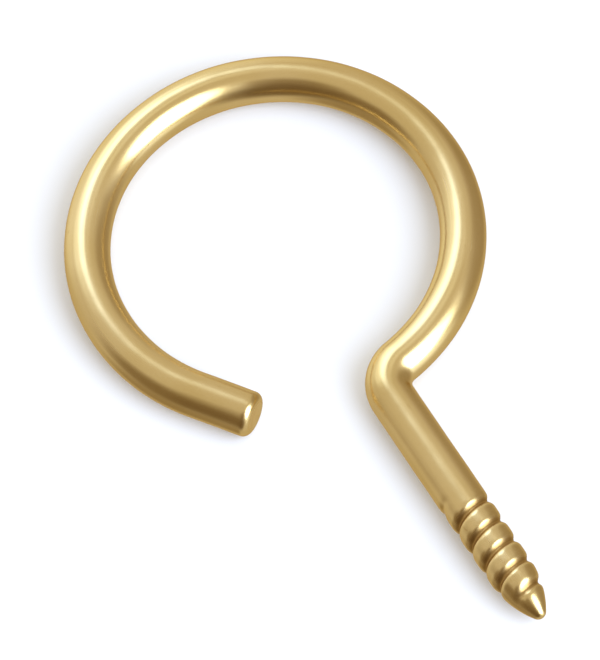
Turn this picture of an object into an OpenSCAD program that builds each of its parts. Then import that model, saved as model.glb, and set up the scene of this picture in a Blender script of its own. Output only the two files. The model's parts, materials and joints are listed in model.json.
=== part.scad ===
// Flyer hook: one length of round brass wire, bent into an open ring, turned back
// at the neck into a straight shank, and threaded and pointed like a wood screw.
// It lies flat, as it comes to rest: the ring's plane is level, the wire touches
// z = 0, the point is towards -Y, and the origin is under the middle of its box.

/* [Wire] */
// Diameter of the drawn wire
wire_d = 1.6; // [1.2:0.1:2.2]

/* [Ring] */
// Inside diameter of the open ring
ring_inside_d = 11.2; // [9:0.1:18]
// Angle at the ring's centre between the shank's direction and the cut end
mouth_angle = 35.5; // [25:0.5:90]
// Length of wire that is left straight before the cut end
end_l = 2.2; // [0.5:0.1:4]
// Chamfer round the rim of the cut end
end_chamfer = 0.2; // [0.05:0.01:0.3]

/* [Neck] */
// Inside radius of the bend that turns the wire from the ring into the shank
neck_inside_r = 0.35; // [0.25:0.05:1.5]
// Distance of the shank's axis from the ring's centre, towards the neck's side
shank_offset = 0.3; // [0:0.05:1.5]

/* [Screw] */
// Length of plain shank between the neck and the thread
shank_l = 4.1; // [2:0.1:12]
// Length of thread between the plain shank and the point
thread_l = 3.4; // [2:0.1:12]
// How much thinner the thread is at the foot of the point than the wire
thread_taper = 0.04; // [0.02:0.02:0.3]
// Distance along the shank from one turn of the thread to the next
thread_pitch = 0.85; // [0.8:0.05:1.3]
// Depth of the thread's groove below its crests
thread_depth = 0.12; // [0.1:0.01:0.2]
// Width of the flat at the bottom of the groove
groove_root_w = 0.08; // [0.04:0.01:0.16]
// Width of the groove between the bevels of the crests on both sides
groove_w = 0.36; // [0.2:0.01:0.4]
// Width of the bevel that rounds off each edge of a crest
crest_bevel_w = 0.12; // [0.04:0.01:0.14]
// Depth of that bevel below the crest
crest_bevel_h = 0.03; // [0.02:0.01:0.06]
// Angle round the screw at which the groove starts, from the +X side towards the top
thread_start_angle = 120; // [0:15:345]
// Angle over which the groove runs out at each end of the thread
runout_angle = 120; // [60:10:180]
// Length of the point, which rounds inwards to the tip
point_l = 2.1; // [1.6:0.1:4]
// Length of the plain tip that the thread leaves at the end of the point
plain_tip_l = 0.8; // [0.8:0.1:1.5]
// Diameter of the blunt nose at the tip
nose_d = 0.2; // [0.1:0.02:0.5]

/* [Hidden] */
wire_facets = 64;
arc_facets = 180;
point_steps = 8;
groove_steps_per_turn = 24;
// How far the groove's cutter stands clear of the crests at its edges and in its middle
groove_over = 0.02;
groove_middle_over = 0.1;
// The neck and the straight end are this much thinner than the ring and the shank, and
// reach this far into them
joint_thinning = 0.01;
joint_overlap = 0.02;
wire_r = wire_d / 2;
ring_r = ring_inside_d / 2 + wire_r;
neck_r = neck_inside_r + wire_r;
// The ring passes into the neck's bend on the line through both of their centres,
// which is this far down from the X axis
neck_angle = acos((shank_offset + neck_r) / (ring_r + neck_r));
neck_drop = (ring_r + neck_r) * sin(neck_angle);
neck_overlap_angle = joint_overlap / neck_r * 180 / PI;
joint_d = wire_d - joint_thinning;
// The ring's bend stops where its tangent leads to the cut end
bend_end_angle = 270 - mouth_angle - atan(end_l / ring_r);
// Distances along the screw from the end of the neck's bend
point_z = shank_l + thread_l;
screw_l = point_z + point_l;
overall_l = wire_r + ring_r + neck_drop + screw_l;
ring_y = overall_l / 2 - wire_r - ring_r;
// The point's outline is an arc that starts along the screw and falls to the nose
point_r = wire_r - thread_taper / 2;
point_fall = point_r - nose_d / 2;
point_bend_r = (point_fall ^ 2 + point_l ^ 2) / (2 * point_fall);
// Half of the groove's section, as height above the crest and distance from its middle
groove_side = [
    [-thread_depth, groove_root_w / 2],
    [-crest_bevel_h, groove_w / 2],
    [groove_over, groove_w / 2 + crest_bevel_w * (1 + groove_over / crest_bevel_h)]
];
// The groove's near edge starts where the plain shank ends, and its middle stops where
// the plain tip starts
groove_z = shank_l + groove_w / 2 + crest_bevel_w;
groove_turns = (screw_l - plain_tip_l - groove_z) / thread_pitch;
groove_steps = ceil(groove_turns * groove_steps_per_turn);
groove_angle = groove_steps * 360 / groove_steps_per_turn;

// Wire of diameter d, bent round the Z axis from one angle to another
module wire_arc(d, bend_r, from_angle, to_angle) {
    rotate_extrude(angle = to_angle - from_angle, start = from_angle, $fn = arc_facets)
        translate([bend_r, 0])
            circle(d = d, $fn = wire_facets);
}

// The open ring's bend, from the neck round over the top to the straight end
module ring() {
    wire_arc(wire_d, ring_r, -neck_angle, bend_end_angle);
}

// The straight stretch that the ring ends in, with its cut rim chamfered
module straight_end() {
    plain_l = joint_overlap + end_l - end_chamfer;
    cut_d = joint_d - 2 * end_chamfer;
    rotate([0, 0, bend_end_angle])
        translate([ring_r, -joint_overlap, 0])
            rotate([-90, 0, 0]) {
                cylinder(h = plain_l, d = joint_d, $fn = wire_facets);
                translate([0, 0, plain_l])
                    cylinder(h = end_chamfer, d1 = joint_d, d2 = cut_d, $fn = wire_facets);
            }
}

// The bend that turns back from the ring into the shank's direction
module neck() {
    translate([shank_offset + neck_r, -neck_drop, 0])
        wire_arc(
            joint_d,
            neck_r,
            180 - neck_angle - neck_overlap_angle,
            180 + neck_overlap_angle
        );
}

// Radius of the screw's crests at a distance along it past the plain shank
function crest_r(z) =
    z < point_z
        ? wire_r - thread_taper / 2 * (z - shank_l) / thread_l
        : point_r - point_bend_r + sqrt(point_bend_r ^ 2 - (z - point_z) ^ 2);

// The thread groove's section at an angle round the screw's axis. It follows the
// crests, and rises clear of them at both ends of the thread.
function groove_section(angle) =
    let (
        middle_z = groove_z + thread_pitch * angle / 360,
        from_end = min(angle, groove_angle - angle),
        lift = (thread_depth + groove_over) * max(0, 1 - from_end / runout_angle),
        far_side = [for (i = [len(groove_side) - 1:-1:0]) [groove_side[i].x, -groove_side[i].y]]
    )
    [
        for (corner = concat(groove_side, [[groove_middle_over, 0]], far_side))
            let (
                z = middle_z + corner.y,
                r = crest_r(z) + lift + corner.x
            )
            [r * cos(angle), r * sin(angle), z]
    ];

// The right-hand helical groove, as one closed solid to be cut away
module thread_groove() {
    sections = [for (i = [0:groove_steps]) groove_section(i * 360 / groove_steps_per_turn)];
    corners = len(sections[0]);
    last = groove_steps * corners;
    sides = [
        for (i = [0:groove_steps - 1], j = [0:corners - 1])
            let (
                a = i * corners + j,
                b = i * corners + (j + 1) % corners
            )
            each [[b, a, a + corners], [b, a + corners, b + corners]]
    ];
    first_end = [for (j = [0:corners - 1]) j];
    last_end = [for (j = [corners - 1:-1:0]) last + j];
    polyhedron(
        points = [for (section = sections, point = section) point],
        faces = concat(sides, [first_end, last_end])
    );
}

// The screw before it is threaded, turned about the Z axis: plain shank, taper and point
module screw_blank() {
    point_outline = [
        for (i = [0:point_steps])
            let (z = point_z + point_l * i / point_steps)
            [crest_r(z), z]
    ];
    rotate_extrude($fn = wire_facets)
        polygon(concat([[0, 0], [wire_r, 0], [wire_r, shank_l]], point_outline, [[0, screw_l]]));
}

// The screw along +Z from the neck. The blank's seam lies between two sections of the groove.
module screw() {
    difference() {
        rotate([0, 0, 180 / groove_steps_per_turn])
            screw_blank();
        rotate([0, 0, thread_start_angle])
            thread_groove();
    }
}

module hook() {
    color("#c9a552")
        translate([0, ring_y, wire_r]) {
            ring();
            straight_end();
            neck();
            translate([shank_offset, -neck_drop, 0])
                rotate([90, 0, 0])
                    screw();
        }
}

hook();
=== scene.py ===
# Flyer hook: one length of satin brass wire, bent to an open ring and threaded at its point.
import json
import math

import bpy
import numpy as np
from mathutils import Matrix, Vector


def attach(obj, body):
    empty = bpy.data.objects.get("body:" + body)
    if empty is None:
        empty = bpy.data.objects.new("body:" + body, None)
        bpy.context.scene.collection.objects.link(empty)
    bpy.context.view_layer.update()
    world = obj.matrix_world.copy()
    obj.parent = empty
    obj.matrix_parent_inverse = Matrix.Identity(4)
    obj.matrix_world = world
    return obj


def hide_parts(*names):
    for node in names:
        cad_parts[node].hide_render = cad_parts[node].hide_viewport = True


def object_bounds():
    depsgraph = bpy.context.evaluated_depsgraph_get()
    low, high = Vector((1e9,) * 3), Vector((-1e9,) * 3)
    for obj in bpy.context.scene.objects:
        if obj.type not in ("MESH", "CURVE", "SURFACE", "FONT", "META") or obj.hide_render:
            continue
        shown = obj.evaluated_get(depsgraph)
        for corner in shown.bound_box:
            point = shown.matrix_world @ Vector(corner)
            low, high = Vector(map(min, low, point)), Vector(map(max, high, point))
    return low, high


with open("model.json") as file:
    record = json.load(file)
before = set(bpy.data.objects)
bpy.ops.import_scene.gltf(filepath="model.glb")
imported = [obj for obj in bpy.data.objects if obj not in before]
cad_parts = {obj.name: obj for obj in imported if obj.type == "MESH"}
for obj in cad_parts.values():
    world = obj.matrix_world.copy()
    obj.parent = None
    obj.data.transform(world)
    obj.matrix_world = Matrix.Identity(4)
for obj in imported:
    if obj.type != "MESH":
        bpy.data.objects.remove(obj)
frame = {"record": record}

CAD_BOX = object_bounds()
MM = 0.001
MOUNTS = {mount["name"]: mount for mount in frame["record"]["mounts"]}

# Sizes that the frame states, in millimetres
WIRE_R = MOUNTS["screw_shank"]["dims"]["r_mm"]
SHANK_L = MOUNTS["screw_shank"]["dims"]["length_mm"]
SHANK_X = MOUNTS["screw_shank"]["pos_m"][0] / MM
RING_Y = MOUNTS["yarn_ring"]["pos_m"][1] / MM
RING_R = (CAD_BOX[1].x - CAD_BOX[0].x) / 2 / MM - WIRE_R
TIP_Y = CAD_BOX[0].y / MM

# Sizes of the same wire that the frame doesn't state, in millimetres and degrees
MOUTH_ANGLE = 35.5
END_L = 2.2
END_ROUND = 0.28
END_DISH = 0.03
NECK_INSIDE_R = 0.35
THREAD_TAPER = 0.04
THREAD_PITCH = 0.85
THREAD_DEPTH = 0.12
THREAD_START_ANGLE = 120
GROOVE_START = 0.3
GROOVE_SPREAD = 0.145
RUNOUT_ANGLE = 120
POINT_L = 2.1
PLAIN_TIP_L = 0.8
NOSE_R = 0.1
NOSE_ROUND = 0.28

# The dressed wire's radius stays at least this much below its nominal one
INSET = 0.002
# Its slight unevenness: depth in millimetres, waves in each millimetre along, waves round it, and phase
WAVES = ((0.004, 0.21, 1, 0.4), (0.003, 0.13, 2, 1.9), (0.002, 0.55, 3, 4.4), (0.001, 1.1, 1, 2.7))

# How finely the wire is meshed: sides round it, and steps along each stretch in millimetres
SIDES = 96
END_STEP = 0.1
RING_STEP = 0.12
NECK_STEP = 0.05
SHANK_STEP = 0.1
THREAD_STEP = 0.02
# Steps over the rounded rim and over the nose, and from the middle of the cut end to its rim
ROUND_STEPS = 9
FACE_STEPS = 10
# Angles of the sides round the wire
TURNS = np.linspace(0, 2 * math.pi, SIDES, endpoint=False)

# The wire's bends, and distances along the screw from the end of its neck
NECK_R = NECK_INSIDE_R + WIRE_R
NECK_ANGLE = math.acos((SHANK_X + NECK_R) / (RING_R + NECK_R))
NECK_Y = RING_Y - (RING_R + NECK_R) * math.sin(NECK_ANGLE)
BEND_END = math.radians(270 - MOUTH_ANGLE) - math.atan(END_L / RING_R)
RING_L = RING_R * (BEND_END + NECK_ANGLE)
NECK_L = NECK_R * NECK_ANGLE
SCREW_START = END_L + RING_L + NECK_L
SCREW_L = NECK_Y - TIP_Y
POINT_Z = SCREW_L - POINT_L
THREAD_L = POINT_Z - SHANK_L
POINT_R = WIRE_R - THREAD_TAPER / 2
POINT_FALL = POINT_R - NOSE_R
POINT_BEND_R = (POINT_FALL ** 2 + POINT_L ** 2) / (2 * POINT_FALL)
GROOVE_TURNS = (SCREW_L - PLAIN_TIP_L - SHANK_L - GROOVE_START) / THREAD_PITCH
# The nose is a ball that touches the point's arc: its middle, half its angle, and where it starts
NOSE_Z = POINT_Z + math.sqrt((POINT_BEND_R - NOSE_ROUND) ** 2 - (POINT_BEND_R - POINT_R) ** 2)
NOSE_ANGLE = math.acos((NOSE_Z - POINT_Z) / (POINT_BEND_R - NOSE_ROUND))
NOSE_START_Z = NOSE_Z + NOSE_ROUND * math.cos(NOSE_ANGLE)


def spaced(start, end, step):
    """Values from start up to, but without, end, at most a step apart."""
    return np.linspace(start, end, max(2, math.ceil(abs(end - start) / step)) + 1)[:-1]


def stations():
    """The wire's centre line from the cut end to the tip: points, directions and distances along it."""
    rim_turn = np.linspace(0, math.pi / 2, ROUND_STEPS)[:-1]
    end = np.concatenate([END_ROUND * (1 - np.cos(rim_turn)), spaced(END_ROUND, END_L, END_STEP)])
    corner = np.array([RING_R * math.cos(BEND_END), RING_Y + RING_R * math.sin(BEND_END)])
    forward = np.array([math.sin(BEND_END), -math.cos(BEND_END)])
    points = [corner + (end - END_L)[:, None] * forward]
    directions = [np.tile(forward, (len(end), 1))]

    ring = spaced(0, RING_L, RING_STEP)
    turn = BEND_END - ring / RING_R
    points.append(np.stack([RING_R * np.cos(turn), RING_Y + RING_R * np.sin(turn)], 1))
    directions.append(np.stack([np.sin(turn), -np.cos(turn)], 1))

    neck = spaced(0, NECK_L, NECK_STEP)
    turn = math.pi - NECK_ANGLE + neck / NECK_R
    middle = np.array([SHANK_X + NECK_R, NECK_Y])
    points.append(middle + NECK_R * np.stack([np.cos(turn), np.sin(turn)], 1))
    directions.append(np.stack([-np.sin(turn), np.cos(turn)], 1))

    nose_turn = np.linspace(NOSE_ANGLE, 0, ROUND_STEPS)[:-1]
    screw = np.concatenate([
        spaced(0, SHANK_L, SHANK_STEP),
        spaced(SHANK_L, NOSE_START_Z, THREAD_STEP),
        NOSE_Z + NOSE_ROUND * np.cos(nose_turn),
    ])
    points.append(np.stack([np.full_like(screw, SHANK_X), NECK_Y - screw], 1))
    directions.append(np.tile([0.0, -1.0], (len(screw), 1)))

    distances = [end, END_L + ring, END_L + RING_L + neck, SCREW_START + screw]
    return np.concatenate(points), np.concatenate(directions), np.concatenate(distances)


def groove_share(z, turn):
    """How near a place on the screw is to the bottom of its thread's groove, from 0 to 1.

    z is the distance along the screw, and turn the angle round it.
    """
    share = (turn - math.radians(THREAD_START_ANGLE)) / (2 * math.pi) % 1
    from_start = (z - SHANK_L - GROOVE_START) / THREAD_PITCH
    turns = share + np.clip(np.round(from_start - share), 0, np.floor(GROOVE_TURNS - share))
    aside = (from_start - turns) * THREAD_PITCH
    sunk = np.clip(np.minimum(turns, GROOVE_TURNS - turns) * 360 / RUNOUT_ANGLE, 0, 1)
    return sunk * sunk * (3 - 2 * sunk) * np.exp(-(aside / GROOVE_SPREAD) ** 2)


def wire_surface(distance):
    """Radius and share of the thread's depth at every station and side of the wire."""
    s = distance[:, None]
    turn = TURNS[None, :]
    z = s - SCREW_START
    crest = WIRE_R - THREAD_TAPER / 2 * np.clip((z - SHANK_L) / THREAD_L, 0, 1)
    past_foot = np.clip(z - POINT_Z, 0, POINT_L)
    crest = crest - POINT_BEND_R + np.sqrt(POINT_BEND_R ** 2 - past_foot ** 2)
    in_nose = np.clip(z - NOSE_Z, 0, NOSE_ROUND)
    crest = np.where(z < NOSE_START_Z, crest, np.sqrt(NOSE_ROUND ** 2 - in_nose ** 2))
    groove = np.where(z > SHANK_L, groove_share(z, turn), 0.0)
    radius = crest - INSET - THREAD_DEPTH * groove
    for depth, along, around, phase in WAVES:
        radius = radius - depth * (1 + np.sin(2 * math.pi * along * s + around * turn + phase)) / 2
    into_end = np.clip(1 - s / END_ROUND, 0, 1)
    return radius - END_ROUND * (1 - np.sqrt(1 - into_end ** 2)), groove


def wire_points(centre, direction, radius):
    """Points of the wire's surface, in millimetres in the hook's frame, by station and side."""
    left = np.stack([-direction[:, 1], direction[:, 0]], 1)
    across = radius * np.cos(TURNS)
    flat = centre[:, None, :] + across[:, :, None] * left[:, None, :]
    return np.concatenate([flat, (WIRE_R + radius * np.sin(TURNS))[:, :, None]], 2)


def cut_face(rim, inward):
    """Rings from the middle of the cut end out to its rim, slightly dished.

    inward is the direction from the cut end into the wire.
    """
    middle = rim.mean(0)
    shares = np.linspace(0, 1, FACE_STEPS + 1)[1:-1]
    return [middle + (rim - middle) * share + inward * END_DISH * (1 - share ** 2) for share in shares]


def closed_faces(count):
    """Faces of a tube of so many rings, closed by a pole at each end.

    The poles are the last of its points.
    """
    i, j = np.meshgrid(np.arange(count - 1), np.arange(SIDES), indexing="ij")
    k = (j + 1) % SIDES
    quads = np.stack([i * SIDES + j, i * SIDES + k, (i + 1) * SIDES + k, (i + 1) * SIDES + j], -1)
    side = np.arange(SIDES)
    after = (side + 1) % SIDES
    tail = (count - 1) * SIDES
    first = np.stack([np.full(SIDES, count * SIDES), after, side], -1)
    last = np.stack([np.full(SIDES, count * SIDES + 1), tail + side, tail + after], -1)
    return quads.reshape(-1, 4).tolist() + first.tolist() + last.tolist()


def add_attribute(mesh, name, values):
    """A number or a vector for each of the mesh's points, for its material to read."""
    kind, field = ("FLOAT_VECTOR", "vector") if values.ndim == 2 else ("FLOAT", "value")
    mesh.attributes.new(name, kind, "POINT").data.foreach_set(field, values.astype(np.float32).ravel())


def make_wire():
    """The whole hook as one closed mesh: the cut end's face, the tube, and the tip."""
    centre, direction, distance = stations()
    radius, groove = wire_surface(distance)
    tube = wire_points(centre, direction, radius)
    inward = np.append(direction[0], 0)
    face = cut_face(tube[0], inward)
    rings = np.array(face + list(tube))
    tip = [SHANK_X, NECK_Y - NOSE_Z - NOSE_ROUND + INSET, WIRE_R]
    poles = [tube[0].mean(0) + inward * END_DISH, tip]
    points = np.concatenate([rings.reshape(-1, 3), poles])
    mesh = bpy.data.meshes.new("hook_wire")
    mesh.from_pydata((points * MM).tolist(), [], closed_faces(len(rings)))

    # For its material: places as if the wire was straight, and where its groove and cut end are
    straight = np.stack([
        np.repeat(np.concatenate([np.zeros(len(face)), distance]), SIDES),
        np.tile(WIRE_R * np.cos(TURNS), len(rings)),
        np.tile(WIRE_R * np.sin(TURNS), len(rings)),
    ], 1)
    on_face = np.repeat([1, 0], [len(face) * SIDES, len(tube) * SIDES])
    add_attribute(mesh, "straight", np.concatenate([straight, [[0, 0, 0], [distance[-1], 0, 0]]]))
    add_attribute(mesh, "groove", np.concatenate([np.zeros(len(face) * SIDES), groove.ravel(), [0, 0]]))
    add_attribute(mesh, "cut", np.concatenate([on_face, [1, 0]]))
    mesh.shade_smooth()
    mesh.validate()
    wire = bpy.data.objects.new("hook_wire", mesh)
    bpy.context.scene.collection.objects.link(wire)
    return wire


class Nodes:
    """A node tree, with short ways to add and join its nodes."""

    def __init__(self, tree):
        self.tree = tree

    def add(self, kind, inputs=None, **settings):
        node = self.tree.nodes.new("ShaderNode" + kind)
        for name, value in settings.items():
            setattr(node, name, value)
        for name, value in (inputs or {}).items():
            self.set(node.inputs[name], value)
        return node

    def set(self, socket, value):
        if isinstance(value, bpy.types.NodeSocket):
            self.tree.links.new(value, socket)
        else:
            socket.default_value = value

    def attribute(self, name, output):
        return self.add("Attribute", attribute_name=name).outputs[output]

    def noise(self, vector, waves, detail, roughness):
        """Noise with so many waves in each unit of the vector."""
        scaled = self.add("VectorMath", {0: vector, 1: waves}, operation="MULTIPLY").outputs[0]
        settings = {"Vector": scaled, "Scale": 1.0, "Detail": detail, "Roughness": roughness}
        return self.add("TexNoise", settings).outputs["Fac"]

    def ramp(self, value, low, high, start=0.0, end=1.0):
        """A value taken smoothly from one range to another."""
        limits = {"Value": value, "From Min": low, "From Max": high, "To Min": start, "To Max": end}
        return self.add("MapRange", limits, interpolation_type="SMOOTHSTEP").outputs["Result"]

    def math(self, operation, a, b):
        return self.add("Math", {0: a, 1: b}, operation=operation).outputs[0]

    def mix(self, share, a, b):
        """One colour passing into another."""
        node = self.add("Mix", data_type="RGBA")
        for name, value in (("Factor_Float", share), ("A_Color", a), ("B_Color", b)):
            self.set(next(x for x in node.inputs if x.identifier == name), value)
        return next(x for x in node.outputs if x.identifier == "Result_Color")


def new_material(name):
    """A material with nodes, its node tree and its shader."""
    material = bpy.data.materials.new(name)
    material.use_nodes = True
    nodes = Nodes(material.node_tree)
    return material, nodes, material.node_tree.nodes["Principled BSDF"]


BRASS = (0.74, 0.555, 0.235, 1)
BRASS_PALE = (0.78, 0.600, 0.285, 1)
BRASS_DEEP = (0.60, 0.405, 0.140, 1)
# Painted shade: the dark brown that the thread's grooves are darkened toward
GROOVE_SHADE_BROWN = (0.40, 0.235, 0.070, 1)
BRASS_EDGE = (0.86, 0.74, 0.52, 1)
# Noises of the finish: waves in each millimetre along and across the wire, detail, and roughness
LINES = ((0.12, 8.0, 8.0), 4.0, 0.6)
CLOUDS = ((0.30, 0.7, 0.7), 2.0, 0.5)
GRAIN = ((16.0, 24.0, 24.0), 2.0, 0.5)
SPECKS = ((2.4, 4.6, 4.6), 2.0, 0.5)
# How they colour the brass: the range over which each sets in, and its least and greatest share
CLOUDS_PALE = (0.3, 0.7, 0, 1)
LINES_DEEP = (0.5, 0.8, 0, 0.3)
SPECKS_DEEP = (0.70, 0.80, 0, 0.35)
# Painted shade in the thread's grooves, deeper where the groove is deeper
GROOVE_PAINTED_SHADE = (0.12, 0.85, 0, 0.9)
# How they roughen it: the range over which each sets in, and its least and greatest roughness
CLOUDS_ROUGH = (0.3, 0.7, 0.22, 0.25)
LINES_ROUGH = (0.4, 0.7, 0, 0.03)
GROOVE_ROUGH = (0.2, 1.0, 0, 0.12)
CUT_ROUGH = 0.14
# The relief of the lines and of the finer grain
RELIEF_STRENGTH = 0.25
RELIEF_DEPTH = 0.006 * MM
GRAIN_SHARE = 0.2


def satin_brass():
    """Drawn brass wire: fine lines along it, faint tarnish, and painted shade darkening the grooves of
    its thread.
    """
    material, n, shader = new_material("satin_brass")
    straight = n.attribute("straight", "Vector")
    groove = n.attribute("groove", "Fac")
    cut = n.attribute("cut", "Fac")
    lines = n.noise(straight, *LINES)
    clouds = n.noise(straight, *CLOUDS)
    grain = n.noise(straight, *GRAIN)
    specks = n.noise(straight, *SPECKS)

    colour = n.mix(n.ramp(clouds, *CLOUDS_PALE), BRASS, BRASS_PALE)
    colour = n.mix(n.ramp(lines, *LINES_DEEP), colour, BRASS_DEEP)
    colour = n.mix(n.ramp(specks, *SPECKS_DEEP), colour, BRASS_DEEP)
    # Painted shade: the thread's grooves darkened toward brown by their depth
    colour = n.mix(n.ramp(groove, *GROOVE_PAINTED_SHADE), colour, GROOVE_SHADE_BROWN)
    n.set(shader.inputs["Base Color"], colour)

    rough = n.math("ADD", n.ramp(clouds, *CLOUDS_ROUGH), n.ramp(lines, *LINES_ROUGH))
    rough = n.math("ADD", rough, n.ramp(groove, *GROOVE_ROUGH))
    rough = n.math("ADD", rough, n.math("MULTIPLY", cut, CUT_ROUGH))
    n.set(shader.inputs["Roughness"], rough)

    height = n.math("ADD", lines, n.math("MULTIPLY", grain, GRAIN_SHARE))
    relief = {"Strength": RELIEF_STRENGTH, "Distance": RELIEF_DEPTH, "Height": height}
    n.set(shader.inputs["Normal"], n.add("Bump", relief).outputs["Normal"])
    shader.inputs["Metallic"].default_value = 1.0
    shader.inputs["Specular Tint"].default_value = BRASS_EDGE
    return material


FLOOR_HALF = 0.7
FLOOR_PALE = (0.87, 0.87, 0.865, 1)
FLOOR_PALER = (0.89, 0.89, 0.885, 1)
# The floor's mottling: waves in each metre, detail, and roughness of the noise
FLOOR_MOTTLING = ((40.0, 40.0, 40.0), 3.0, 0.5)
FLOOR_ROUGH = 0.75
FLOOR_SPECULAR = 0.2


def pale_floor():
    """A matt pale surface with the faintest mottling."""
    material, n, shader = new_material("pale_floor")
    mottling = n.noise(n.add("TexCoord").outputs["Object"], *FLOOR_MOTTLING)
    n.set(shader.inputs["Base Color"], n.mix(mottling, FLOOR_PALE, FLOOR_PALER))
    shader.inputs["Roughness"].default_value = FLOOR_ROUGH
    shader.inputs["Specular IOR Level"].default_value = FLOOR_SPECULAR
    return material


def make_floor():
    """The surface that the hook lies on. The metal mirrors the studio's lower half in its place."""
    mesh = bpy.data.meshes.new("floor")
    corners = [(x * FLOOR_HALF, y * FLOOR_HALF, 0) for x, y in ((-1, -1), (1, -1), (1, 1), (-1, 1))]
    mesh.from_pydata(corners, [], [(0, 1, 2, 3)])
    mesh.materials.append(pale_floor())
    floor = bpy.data.objects.new("floor", mesh)
    floor.visible_glossy = False
    bpy.context.scene.collection.objects.link(floor)
    return floor


# Directions of the picture's right and up, in the hook's own frame
PICTURE_RIGHT = Vector((0.863, -0.501, -0.070))
PICTURE_UP = Vector((0.470, 0.741, 0.480))


def seen_from_camera(azimuth, elevation):
    """A direction from the hook, by its angle to the camera's right and its height above the floor."""
    to_camera = PICTURE_RIGHT.cross(PICTURE_UP)
    front = Vector((to_camera.x, to_camera.y, 0)).normalized()
    right = Vector((0, 0, 1)).cross(front)
    a, e = math.radians(azimuth), math.radians(elevation)
    level = front * math.cos(a) + right * math.sin(a)
    return level * math.cos(e) + Vector((0, 0, math.sin(e)))


# The key light's place and size, in degrees as seen from the hook, and its distance in metres
KEY_AZIMUTH, KEY_ELEVATION = 51, 33
KEY_WIDTH, KEY_HEIGHT = 50, 66
KEY_DISTANCE = 0.3
KEY_BRIGHTNESS = 5.0
KEY_COLOUR = (0.66, 0.77, 1.0)


def make_key():
    """A tall rounded window of daylight to the camera's right."""
    data = bpy.data.lights.new("key", "AREA")
    data.shape = "ELLIPSE"
    data.size = 2 * KEY_DISTANCE * math.tan(math.radians(KEY_WIDTH / 2))
    data.size_y = 2 * KEY_DISTANCE * math.tan(math.radians(KEY_HEIGHT / 2))
    data.energy = KEY_BRIGHTNESS * math.pi * (math.pi / 4 * data.size * data.size_y)
    data.color = KEY_COLOUR
    light = bpy.data.objects.new("key", data)
    direction = seen_from_camera(KEY_AZIMUTH, KEY_ELEVATION)
    light.location = direction * KEY_DISTANCE
    light.rotation_euler = direction.to_track_quat("Z", "Y").to_euler()
    light.visible_camera = False
    bpy.context.scene.collection.objects.link(light)


STUDIO_WHITE = (0.95, 0.95, 0.95, 1)
# What the metal mirrors of the studio: its brightness, and its lobes of light and shade by azimuth and
# elevation, angles where the lobe is full and where it has faded, all in degrees, and brightness
STUDIO_LEVEL = 0.64
STUDIO_LOBES = (
    ((-152, 0), (22, 46), 1.00),
    ((-58, 8), (16, 40), 0.20),
    ((-62, -42), (12, 32), 0.30),
    ((-22, 42), (10, 28), 0.22),
    ((-15, 2), (16, 46), 0.12),
    ((115, 0), (18, 50), 0.33),
    ((155, 68), (3, 13), 1.05),
    ((-134, 34), (6, 18), 1.35),
    ((-157, 28), (8, 18), 1.90),
    ((-158, 47), (9, 17), 2.60),
    ((54, -8), (4, 24), 1.40),
)
# In the studio shade is warm and light is cool: red rises more slowly than brightness, and blue faster
STUDIO_RED_POWER = 0.81
STUDIO_BLUE_POWER = 1.33


def studio_colour(level):
    """The studio's colour at a brightness."""
    return (level ** STUDIO_RED_POWER, level, level ** STUDIO_BLUE_POWER, 1)


def make_world():
    """White light for the floor, and a warm studio with soft lobes of light and shade for the metal."""
    world = bpy.data.worlds.new("studio")
    bpy.context.scene.world = world
    world.use_nodes = True
    # Not sampled as a light, so that the metal can mirror something else than lights the floor
    world.cycles.sampling_method = "NONE"
    n = Nodes(world.node_tree)
    ray = n.add("TexCoord").outputs["Generated"]
    colour = studio_colour(STUDIO_LEVEL)
    for place, (full, faded), level in STUDIO_LOBES:
        toward = n.add("VectorMath", {0: ray, 1: seen_from_camera(*place)}, operation="DOT_PRODUCT")
        limits = math.cos(math.radians(faded)), math.cos(math.radians(full))
        colour = n.mix(n.ramp(toward.outputs["Value"], *limits), colour, studio_colour(level))
    mirrored = n.add("LightPath").outputs["Is Glossy Ray"]
    n.set(world.node_tree.nodes["Background"].inputs["Color"], n.mix(mirrored, STUDIO_WHITE, colour))


# The camera's lens and sensor in millimetres, and how near and how far it sees in metres
LENS = 300
SENSOR = 36
CLIP_START, CLIP_END = 0.01, 10
# The picture's proportions, and the share of it that stays free at each edge
PICTURE_W, PICTURE_H = 600, 660
PICTURE_MARGIN = 0.075


def make_camera(subject):
    """A long lens at the picture's viewing angle, framing the subject with an even margin."""
    to_camera = PICTURE_RIGHT.cross(PICTURE_UP).normalized()
    up = to_camera.cross(PICTURE_RIGHT).normalized()
    right = up.cross(to_camera)
    across = [vertex.co.dot(right) for vertex in subject.data.vertices]
    upward = [vertex.co.dot(up) for vertex in subject.data.vertices]
    scale = max(
        (max(across) - min(across)) / PICTURE_W,
        (max(upward) - min(upward)) / PICTURE_H,
    ) / (1 - 2 * PICTURE_MARGIN)
    distance = scale * max(PICTURE_W, PICTURE_H) * LENS / SENSOR
    middle = (right * (max(across) + min(across)) + up * (max(upward) + min(upward))) / 2
    data = bpy.data.cameras.new("camera")
    data.lens = LENS
    data.sensor_width = SENSOR
    data.clip_start = CLIP_START
    data.clip_end = CLIP_END
    camera = bpy.data.objects.new("camera", data)
    turn = Matrix((right, up, to_camera)).transposed().to_4x4()
    camera.matrix_world = Matrix.Translation(middle + to_camera * distance) @ turn
    bpy.context.scene.collection.objects.link(camera)
    bpy.context.scene.camera = camera


hook = make_wire()
hook.data.materials.append(satin_brass())
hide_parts("hook")
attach(hook, "root")
make_floor()
make_key()
make_world()
make_camera(hook)
bpy.context.scene.view_settings.view_transform = "Standard"
